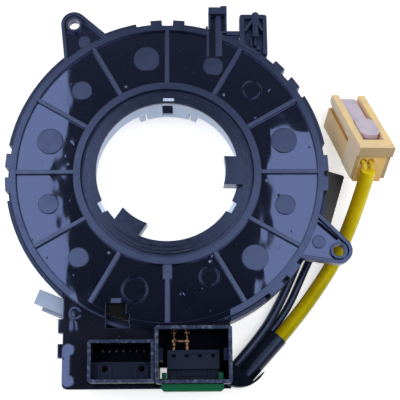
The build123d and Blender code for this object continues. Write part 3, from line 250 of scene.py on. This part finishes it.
def cover_material():
    """The cover: panel, deck and webs are polished and slightly wavy, the rest is finely matte."""
    material, tree, shader, coords = start("cover")
    place = split_xyz(tree, coords)
    level = maths(tree, "GREATER_THAN", facing(tree)["Z"], LOOKS_REAR)

    def faces_at(band):
        return maths(tree, "MULTIPLY", between(tree, place["Z"], *band), level)

    panel = faces_at(PANEL_Z)
    deck = faces_at(DECK_Z)
    rims = faces_at(RIM_Z)
    below = maths(tree, "LESS_THAN", place["Y"], RIM_BY_DECK_Y)
    by_deck = maths(tree, "MULTIPLY", below, between(tree, place["X"], *RIM_BY_DECK_X))
    low_rim = maths(tree, "MULTIPLY", rims, by_deck)
    smooth = low_rim
    for mask in (panel, faces_at(WEB_Z), deck, faces_at(PAD_MARK_Z)):
        smooth = maths(tree, "ADD", smooth, mask)

    # Colour: the matte faces, then the polished ones
    slow = drift(tree, coords, 80.0)
    matte = mix_colour(tree, slow, (0.011, 0.015, 0.032), (0.018, 0.023, 0.046))
    matte = mix_colour(tree, rims, matte, (0.006, 0.009, 0.020))
    # Rib tops are painted lighter: a painted highlight on their rounded tops.
    matte = mix_colour(tree, faces_at(RIB_Z), matte, (0.022, 0.027, 0.048))
    dust = spread(tree, noise(tree, coords, 2600.0, 6.0, 0.8), 0.70, 0.80, 0.0, 0.5)
    matte = mix_colour(tree, dust, matte, (0.10, 0.11, 0.15))
    # Pale specks painted on the gate marks: a painted glint on their rough spots.
    gate_glints = spread(tree, noise(tree, coords, 2200.0, 2.0), 0.5, 0.56)
    gate_glints = maths(tree, "MULTIPLY", gate_glints, faces_at(GATE_MARK_Z))
    matte = mix_colour(tree, gate_glints, matte, (0.45, 0.50, 0.62))
    polished = mix_colour(tree, slow, (0.0020, 0.0030, 0.0080), (0.0036, 0.0050, 0.0120))
    dusty = mix_colour(tree, slow, (0.006, 0.0072, 0.014), (0.014, 0.0155, 0.025))
    polished = mix_colour(tree, deck, polished, dusty)
    specks = spread(tree, noise(tree, coords, 1900.0, 3.0, 0.5), 0.70, 0.74, 0.0, 0.35)
    polished = mix_colour(tree, specks, polished, (0.20, 0.22, 0.30))
    base = mix_colour(tree, smooth, matte, polished)

    matte_rough = drift(tree, coords, 300.0, 5.0, 0.6, 0.28, 0.42)
    shine_noise = noise(tree, coords, 130.0, 5.0, 0.6)
    polished_rough = spread(tree, shine_noise, 0.3, 0.75, 0.025, 0.055)
    rough = mix_number(tree, smooth, matte_rough, polished_rough)

    # Relief: the panel is a shallow dish, the deck falls to both sides, then swell, ripples, grain
    dished = maths(tree, "ADD", panel, low_rim)
    dish = maths(tree, "MULTIPLY", axis_distance(tree, place), PANEL_SLOPE)
    dish = maths(tree, "MULTIPLY", dish, dished)
    tilt = maths(tree, "MULTIPLY", maths(tree, "ABSOLUTE", place["X"]), DECK_SLOPE)
    tilt = maths(tree, "MULTIPLY", tilt, deck)
    normal = bump(tree, maths(tree, "ADD", dish, tilt), 1.0, soft_edges(tree, 0.0004))
    normal = bump(tree, noise(tree, coords, 60.0, 2.0, 0.45), 0.00014, normal)
    ripples = noise(tree, coords, 150.0, 1.0, 0.4, stretch=(1.0, 0.35, 1.0))
    normal = bump(tree, maths(tree, "MULTIPLY", ripples, smooth), 0.00007, normal)
    dents = spread(tree, noise(tree, coords, 300.0, 1.0), 0.74, 0.84)
    normal = bump(tree, maths(tree, "MULTIPLY", dents, smooth), 0.00005, normal)
    rest = maths(tree, "SUBTRACT", 1.0, smooth)
    grain = maths(tree, "MULTIPLY", noise(tree, coords, 3600.0, 2.0), rest)
    normal = bump(tree, grain, 0.00002, normal, 0.5)
    connect(tree, shader, base, rough, normal)
    set_shine(shader, (0.40, 0.51, 1.0), level=0.9)
    shader.inputs["IOR"].default_value = GLOSSY_IOR
    return material


def plug_material(name, pale, deep, corner, left_painted_light, end_painted_light):
    """Half-clear moulding: mottled, with painted shade in its corners and creases. The left and
    end colours are painted light and shade on the faces that look left and towards the near end.
    """
    material, tree, shader, coords = start(name)
    blotches = spread(tree, noise(tree, coords, 210.0, 4.0), 0.38, 0.62)
    base = mix_colour(tree, blotches, pale, deep)
    # Painted shade: the colour turns to the corner colour where ambient occlusion finds creases
    # and corners.
    crease_occlusion = node(tree, "ShaderNodeAmbientOcclusion", samples=8)
    crease_occlusion.inputs["Distance"].default_value = 0.003
    painted_crease_shade = spread(tree, crease_occlusion.outputs["AO"], 0.35, 0.85, 0.85, 0.0)
    base = mix_colour(tree, painted_crease_shade, base, corner)
    # Painted light and shade: faces that look towards -Y take the end colour, faces that look
    # towards -X the left colour.
    looks = facing(tree)
    base = mix_colour(tree, spread(tree, looks["Y"], -0.7, -0.5, 0.8, 0.0), base, end_painted_light)
    base = mix_colour(tree, spread(tree, looks["X"], -0.8, -0.5, 0.8, 0.0), base, left_painted_light)
    worn = drift(tree, coords, 500.0, a=0.30, b=0.48)
    normal = bump(tree, noise(tree, coords, 700.0, 4.0), 0.00006, soft_edges(tree, 0.0004), 0.7)
    connect(tree, shader, base, worn, normal)
    set_shine(shader, (1.0, 0.88, 0.66))
    let_light_in(shader, 0.2, (0.0025, 0.0015, 0.0006))
    return material


def socket_material(name, mouth_z):
    """A socket: painted shade makes it black deep inside; its mouth's edges are lighter, from
    scuffs and from a painted highlight.
    """
    material, tree, shader, coords = start(name)
    height = split_xyz(tree, coords)["Z"]
    outside = mix_colour(
        tree, drift(tree, coords, SHADE_SCALE), (0.010, 0.014, 0.030), (0.016, 0.021, 0.044))
    # Painted shade: the colour goes to black towards the bottom.
    painted_depth_shade = spread(tree, height, 0.0, mouth_z - 0.002)
    base = mix_colour(tree, painted_depth_shade, (0.002, 0.003, 0.006), outside)
    # Lighter marks near the mouth: scuffs, with a painted highlight on the rim tops.
    scuffs = spread(tree, noise(tree, coords, 700.0, 6.0, 0.7), 0.50, 0.66, 0.0, 0.75)
    scuffed_lit_mouth = spread(tree, height, mouth_z - 0.0007, mouth_z - 0.0001)
    base = mix_colour(tree, maths(tree, "MULTIPLY", scuffs, scuffed_lit_mouth), base, (0.14, 0.17, 0.26))
    worn = drift(tree, coords, 240.0, 5.0, 0.6, 0.28, 0.40)
    normal = bump(tree, noise(tree, coords, 2400.0), 0.00003, soft_edges(tree, 0.0003), 0.6)
    connect(tree, shader, base, worn, normal)
    set_shine(shader, BLUE)
    shine = spread(tree, height, 0.0, mouth_z - 0.001, 0.05, 0.5)
    tree.links.new(shine, shader.inputs["Specular IOR Level"])
    return material


def ring_material():
    """The ring: fine lighter streaks run round it."""
    material, tree, shader, coords = start("ring")
    place = split_xyz(tree, coords)
    angle = maths(tree, "ARCTAN2", place["Y"], place["X"])
    polar = node(tree, "ShaderNodeCombineXYZ")
    tree.links.new(axis_distance(tree, place), polar.inputs["X"])
    tree.links.new(maths(tree, "MULTIPLY", angle, 0.0008), polar.inputs["Y"])
    tree.links.new(place["Z"], polar.inputs["Z"])
    streaks = noise(tree, polar.outputs[0], 2200.0, 4.0, 0.65)
    slow = drift(tree, coords, SHADE_SCALE)
    base = mix_colour(tree, slow, (0.005, 0.007, 0.016), (0.008, 0.011, 0.024))
    light_streaks = spread(tree, streaks, 0.60, 0.72, 0.0, 0.6)
    base = mix_colour(tree, light_streaks, base, (0.07, 0.08, 0.12))
    worn = drift(tree, coords, 400.0, a=0.20, b=0.30)
    normal = bump(tree, streaks, 0.000006, soft_edges(tree, 0.0003), 0.8)
    connect(tree, shader, base, worn, normal)
    set_shine(shader, (0.42, 0.53, 1.0), level=0.6)
    shader.inputs["IOR"].default_value = GLOSSY_IOR
    return material


def sheath_material(name, near, far, painted_side_shade, rough, tint, level=0.5):
    """A soft sleeve: its shade drifts along it, darker towards the near end, with painted shade on
    the flank that looks towards -X, and long slow wrinkles.
    """
    material, tree, shader, coords = start(name)
    slow = drift(tree, coords, 120.0, a=-0.25, b=0.25)
    along = spread(tree, split_xyz(tree, coords)["Y"], -0.045, 0.0)
    base = mix_colour(tree, maths(tree, "ADD", along, slow), near, far)
    # Painted shade on the flank that looks towards -X.
    flank_shade_mask = spread(tree, facing(tree)["X"], -0.75, 0.25, 1.0, 0.0)
    base = mix_colour(tree, flank_shade_mask, base, painted_side_shade)
    worn = drift(tree, coords, 500.0, a=rough * 0.8, b=rough * 1.2)
    normal = bump(tree, noise(tree, coords, 260.0, 4.0, 0.6), 0.00012, strength=0.7)
    connect(tree, shader, base, worn, normal)
    set_shine(shader, tint, level)
    return material


def metal(name, colour, rough):
    """Stamped metal with dark, uneven tarnish."""
    material, tree, shader, coords = start(name)
    tarnish = spread(tree, noise(tree, coords, 1300.0, 4.0), 0.42, 0.58)
    base = mix_colour(tree, tarnish, tuple(c * 0.12 for c in colour), colour)
    tree.links.new(base, shader.inputs["Base Color"])
    worn = drift(tree, coords, 2000.0, 3.0, a=rough * 0.8, b=rough * 1.3)
    tree.links.new(worn, shader.inputs["Roughness"])
    shader.inputs["Metallic"].default_value = 1.0
    return material


# Materials: which piece has which
wheel_socket = plastic("wheel_socket", (0.020, 0.022, 0.030), 0.40)
hidden_block = plastic("block", (0.010, 0.011, 0.015), 0.5, level=0.2)
copper = metal("copper", (0.86, 0.46, 0.30), 0.20)
materials = {
    "rear_cover": cover_material(),
    "outer_case": plastic("case", (0.020, 0.028, 0.060), 0.40, tint=BLUE, scuffs=0.4),
    "left_socket": socket_material("left_socket", 0.008),
    "right_socket": socket_material("right_socket", 0.009),
    "left_terminals": metal("dull_tin", (0.06, 0.055, 0.05), 0.35),
    "right_insert": plastic(
        "insert", (0.005, 0.007, 0.014), 0.42, tint=BLUE, level=0.3, grain=1500.0,
        grain_depth=0.00012, scuffs=0.5, scuff_colour=(0.08, 0.10, 0.15)),
    "shorting_clip": copper,
    "retaining_ring": ring_material(),
    "rotor": plastic("rotor", (0.60, 0.71, 0.92), 0.38, change=0.05, sss=0.15, edge=0.00015),
    "green_retainer": plastic(
        "green", (0.002, 0.068, 0.026), 0.36, tint=(0.3, 1.0, 0.7), level=0.3, scuffs=0.3,
        scuff_colour=(0.03, 0.20, 0.12)),
    # The plugs' corner, left and end colours are painted shade in creases, and painted light and
    # shade on the faces that look left and towards the near end.
    "plug_shell": plug_material(
        "shell", (0.95, 0.68, 0.29), (0.83, 0.60, 0.36), corner=(0.62, 0.30, 0.07),
        left_painted_light=(0.95, 0.76, 0.58), end_painted_light=(0.44, 0.32, 0.17)),
    "plug_body": plug_material(
        "plug_body", (0.86, 0.58, 0.24), (0.76, 0.56, 0.32), corner=(0.50, 0.20, 0.03),
        left_painted_light=(1.0, 0.66, 0.30), end_painted_light=(1.0, 0.62, 0.20)),
    "plug_lock": plug_material(
        "lock", (0.62, 0.53, 0.64), (0.52, 0.45, 0.58), corner=(0.40, 0.26, 0.18),
        left_painted_light=(0.60, 0.50, 0.60), end_painted_light=(0.55, 0.47, 0.58)),
    "plug_wires": plastic("wires", (0.70, 0.52, 0.02), 0.35, edge=0.0),
    "white_tab": plastic("tab", (0.33, 0.41, 0.59), 0.30, change=0.06, sss=0.5, edge=0.0003),
    "black_plug": plastic(
        "black_plug", (0.022, 0.023, 0.028), 0.42, scuffs=0.5, scuff_colour=(0.09, 0.09, 0.10)),
    "cable_guide": plastic(
        "guide", (0.002, 0.004, 0.009), 0.5, tint=BLUE, level=0.1, scuffs=0.2,
        scuff_colour=(0.02, 0.03, 0.05)),
    "tape_wrap": plastic(
        "tape", (0.010, 0.014, 0.026), 0.30, tint=BLUE, grain=1500.0, grain_depth=0.00008,
        edge=0.0),
    # The film's near-black colour and weak shine are painted shade for the film seen in the T
    # window.
    "slip_film": plastic("film", (0.002, 0.0025, 0.004), 0.5, edge=0.0, level=0.08),
    "flat_cable": plastic("flat_cable", (0.50, 0.24, 0.09), 0.35, edge=0.0),
    "terminal_block": hidden_block,
    "cable_anchor": hidden_block,
    "wheel_socket_top": wheel_socket,
    "wheel_socket_low": wheel_socket,
    "wheel_terminals_top": copper,
    "wheel_terminals_low": copper,
}
for name, material in materials.items():
    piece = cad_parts[name]
    piece.data.materials.clear()
    piece.data.materials.append(material)

# The side colours are painted shade on each lead's flank that looks towards -X.
yellow = sheath_material(
    "yellow_sleeve", near=(0.36, 0.31, 0.001), far=(0.90, 0.70, 0.012), painted_side_shade=(0.42, 0.27, 0.002),
    rough=0.26, tint=(1.0, 0.80, 0.04))
black_sleeve = sheath_material(
    "black_sleeve", near=(0.010, 0.014, 0.028), far=(0.014, 0.018, 0.033),
    painted_side_shade=(0.008, 0.011, 0.022), rough=0.30, tint=BLUE, level=0.7)
dark_leg = plastic("latch_leg", (0.030, 0.040, 0.075), 0.8, edge=0.0, level=0.0)


# Leads, along the same routes as in the part
def lead(name, points, diameter, material):
    """One open spline. Points and diameter are in millimetres."""
    curve = bpy.data.curves.new(name, "CURVE")
    curve.dimensions = "3D"
    spline = curve.splines.new("NURBS")
    spline.points.add(len(points) - 1)
    for place, point in zip(spline.points, points):
        place.co = (point[0] * MM, point[1] * MM, point[2] * MM, 1.0)
    spline.order_u = 3
    spline.use_endpoint_u = True
    spline.resolution_u = 24
    curve.bevel_depth = diameter / 2 * MM
    curve.bevel_resolution = 8
    curve.use_fill_caps = True
    piece = bpy.data.objects.new(name, curve)
    scene.collection.objects.link(piece)
    curve.materials.append(material)
    return piece


yellow_route = (
    (37.625, -53.063, -19.45), (45.732, -44.215, -19.45), (61.8, -20.4, -18.85),
    (65.960, -0.848, 3.530),
)
black_a_route = (
    (22.288, -62.473, -17.75), (30.936, -53.036, -17.75), (37.6, -42.2, -19.35),
    (42.4, -32.0, -20.35), (47.258, -20.605, -20.35), (49.213, -14.406, -20.35),
)
black_b_route = (
    (34.934, -50.597, -20.65), (40.001, -45.067, -20.65), (47.0, -30.0, -20.65),
    (50.582, -22.702, -20.65), (52.837, -15.549, -20.65),
)
sheath = lead("yellow_lead", yellow_route, 5.0, yellow)
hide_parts("yellow_sheath")
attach(sheath, "housing")
tube_a = lead("black_lead_a", black_a_route, 3.2, black_sleeve)
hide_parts("black_tube_a")
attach(tube_a, "housing")
tube_b = lead("black_lead_b", black_b_route, 2.6, black_sleeve)
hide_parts("black_tube_b")
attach(tube_b, "housing")


# Small pieces: the latch leg in the sleeve's window, and the floor of the ear's narrow pocket
def block(name, centre, size, turn, body, material):
    """A box turned about Z. Centre and size are in millimetres, turn in degrees."""
    half = Vector(size) / 2
    corners = [
        Vector((x * half.x, y * half.y, z * half.z))
        for x in (-1, 1) for y in (-1, 1) for z in (-1, 1)
    ]
    faces = [(0, 1, 3, 2), (4, 6, 7, 5), (0, 4, 5, 1), (2, 3, 7, 6), (0, 2, 6, 4), (1, 5, 7, 3)]
    place = Matrix.Translation(centre) @ Matrix.Rotation(radians(turn), 4, "Z")
    mesh = bpy.data.meshes.new(name)
    mesh.from_pydata([tuple((place @ corner) * MM) for corner in corners], [], faces)
    mesh.materials.append(material)
    piece = bpy.data.objects.new(name, mesh)
    scene.collection.objects.link(piece)
    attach(piece, body)


block("ring_latch_leg", centre=(0.0, 25.1, -9.15), size=(3.3, 0.9, 10.0), turn=0.0,
      body="rotor_unit", material=dark_leg)
block("ear_pocket_floor", centre=(52.6, -20.0, -4.35), size=(9.4, 2.2, 0.3), turn=-42.0,
      body="housing", material=dark_leg)

# Stage: the floor is lit as usual, and glows only for rays that see it
FLOOR_HALF = 3.0
FLOOR_GLOW = 0.55
floor_corners = [
    (x * FLOOR_HALF, y * FLOOR_HALF, TABLE) for x, y in ((-1, -1), (1, -1), (1, 1), (-1, 1))
]
floor_mesh = bpy.data.meshes.new("floor")
floor_mesh.from_pydata(floor_corners, [], [(0, 1, 2, 3)])
floor = bpy.data.objects.new("floor", floor_mesh)
scene.collection.objects.link(floor)
floor_material, floor_tree, floor_shader, _ = start("floor")
rays = node(floor_tree, "ShaderNodeLightPath")
seen = maths(floor_tree, "MAXIMUM", rays.outputs["Is Camera Ray"], rays.outputs["Is Glossy Ray"])
seen = maths(floor_tree, "MAXIMUM", seen, rays.outputs["Is Transmission Ray"])
glow = maths(floor_tree, "MULTIPLY", seen, FLOOR_GLOW)
floor_tree.links.new(glow, floor_shader.inputs["Emission Strength"])
floor_shader.inputs["Base Color"].default_value = (0.93, 0.93, 0.93, 1.0)
floor_shader.inputs["Roughness"].default_value = 0.9
floor_shader.inputs["Specular IOR Level"].default_value = 0.1
floor_shader.inputs["Emission Color"].default_value = (1.0, 1.0, 1.0, 1.0)
floor_mesh.materials.append(floor_material)

# World: bright near the horizon, dark overhead, with a little light high on the far side
world = bpy.data.worlds.new("world")
scene.world = world
world.use_nodes = True
world_tree = world.node_tree
background = next(n for n in world_tree.nodes if n.type == "BACKGROUND")
sky = split_xyz(world_tree, node(world_tree, "ShaderNodeTexCoord").outputs["Generated"])
ramp = spread(world_tree, sky["Z"], 0.45, 0.75, 1.0, 0.05)
near_side = spread(world_tree, sky["Y"], -0.7, 0.2, 0.1, 1.0)
overhead = maths(world_tree, "GREATER_THAN", sky["Z"], 0.75)
far_side = spread(world_tree, sky["Y"], 0.15, 0.40, 0.0, 0.32)
far_side = maths(world_tree, "MULTIPLY", far_side, overhead)
light = maths(world_tree, "ADD", maths(world_tree, "MULTIPLY", ramp, near_side), far_side)
grey = node(world_tree, "ShaderNodeCombineColor")
for socket in grey.inputs[:3]:
    world_tree.links.new(light, socket)
world_tree.links.new(grey.outputs[0], background.inputs["Color"])
background.inputs["Strength"].default_value = 0.75

# Lamps: two softboxes, whose edges are those of the reflections in the photograph
LAMP_HEIGHT = 0.318
LAMP_RADIANCE = 2.5
LAMP_COLOUR = (0.94, 0.97, 1.0)


def softbox(name, low, high):
    """A rectangle in the plane of the lamps: low and high are its corners in X and Y."""
    lamp_data = bpy.data.lights.new(name, "AREA")
    lamp_data.shape = "RECTANGLE"
    lamp_data.size = high[0] - low[0]
    lamp_data.size_y = high[1] - low[1]
    lamp_data.energy = LAMP_RADIANCE * pi * lamp_data.size * lamp_data.size_y
    lamp_data.color = LAMP_COLOUR
    lamp = bpy.data.objects.new(name, lamp_data)
    lamp.location = ((low[0] + high[0]) / 2, (low[1] + high[1]) / 2, LAMP_HEIGHT)
    scene.collection.objects.link(lamp)


softbox("softbox_left", (-0.36, -0.20), (-0.0514, 0.155))
softbox("softbox_right", (0.0401, -0.20), (0.36, 0.1035))

scene.view_settings.view_transform = "Standard"
